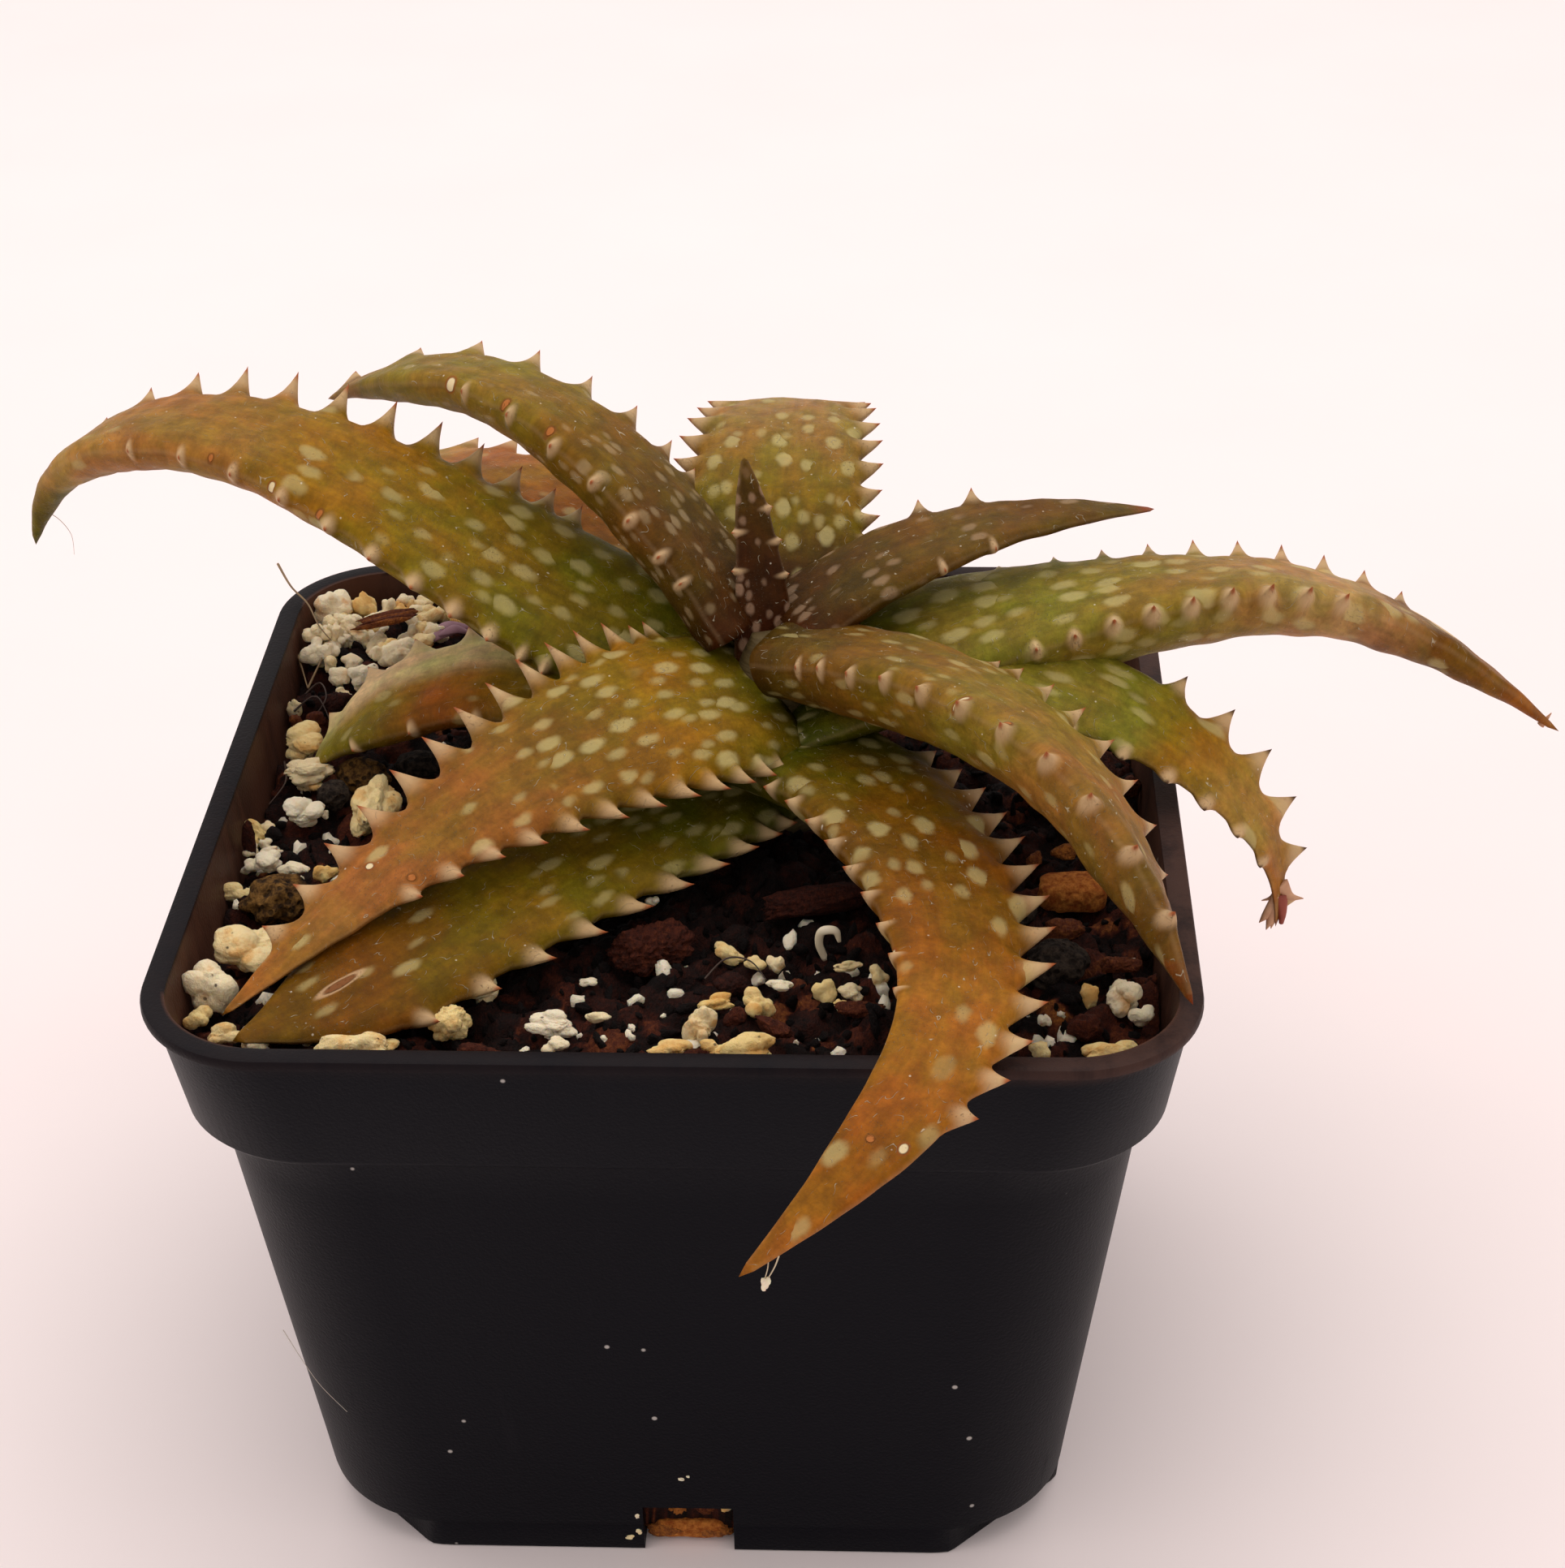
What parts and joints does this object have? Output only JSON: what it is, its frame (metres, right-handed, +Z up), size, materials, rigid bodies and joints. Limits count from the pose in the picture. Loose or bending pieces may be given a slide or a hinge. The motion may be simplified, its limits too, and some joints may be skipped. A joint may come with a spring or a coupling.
{
  "type": "potted spotted aloe",
  "caption": "Young spotted aloe hybrid with a rosette of arching toothed leaves in a gritty mix, in a square plastic nursery pot with a flat lip and drain slots.",
  "frame": {"origin": "middle of the pot's underside, on the plane that the pot stands on", "axes": "+Z up, -Y the front of the pot as pictured, +X to the right of that front"},
  "size_m": [0.1668, 0.1375, 0.1054],
  "materials": {
    "pot_plastic": "satin charcoal black plastic with faint scuffs and dust",
    "leaf": "waxy satin skin, olive to red brown with pale spots and orange teeth",
    "stem": "matt fibrous stem",
    "potting_mix": "damp dark brown bark and grit",
    "perlite": "matt porous cream grains",
    "pumice": "matt porous brown lumps",
    "bark": "rough reddish brown bark",
    "clay": "matt orange fired clay"
  },
  "bodies": {
    "root": {"leaf_centre_young": "leaf", "leaf_left_high": "leaf", "leaf_right_young": "leaf", "leaf_front_right": "leaf", "leaf_left_long": "leaf", "leaf_right_long": "leaf", "leaf_front_left_upper": "leaf", "leaf_back": "leaf", "leaf_back_left_old": "leaf", "leaf_right_low": "leaf", "leaf_front_sickle": "leaf", "leaf_left_low": "leaf", "leaf_front_left_lower": "leaf", "stem": "stem", "pot": "pot_plastic", "potting_mix": "potting_mix", "perlite_heap": "perlite", "perlite_left_large": "perlite", "perlite_corner_left": "perlite", "perlite_front_left": "perlite", "perlite_front_pebble": "perlite", "perlite_front_white": "perlite", "perlite_front_middle": "perlite", "perlite_front_block": "perlite", "perlite_right_front": "perlite", "perlite_right_corner": "perlite", "perlite_left_pebble": "perlite", "perlite_left_flat": "perlite", "perlite_left_white": "perlite", "pumice_left": "pumice", "pumice_middle_left": "pumice", "pumice_right": "pumice", "bark_front": "bark", "bark_sliver": "bark", "bark_chip_drain": "bark", "clay_chip_right": "clay"}
  },
  "joints": []
}
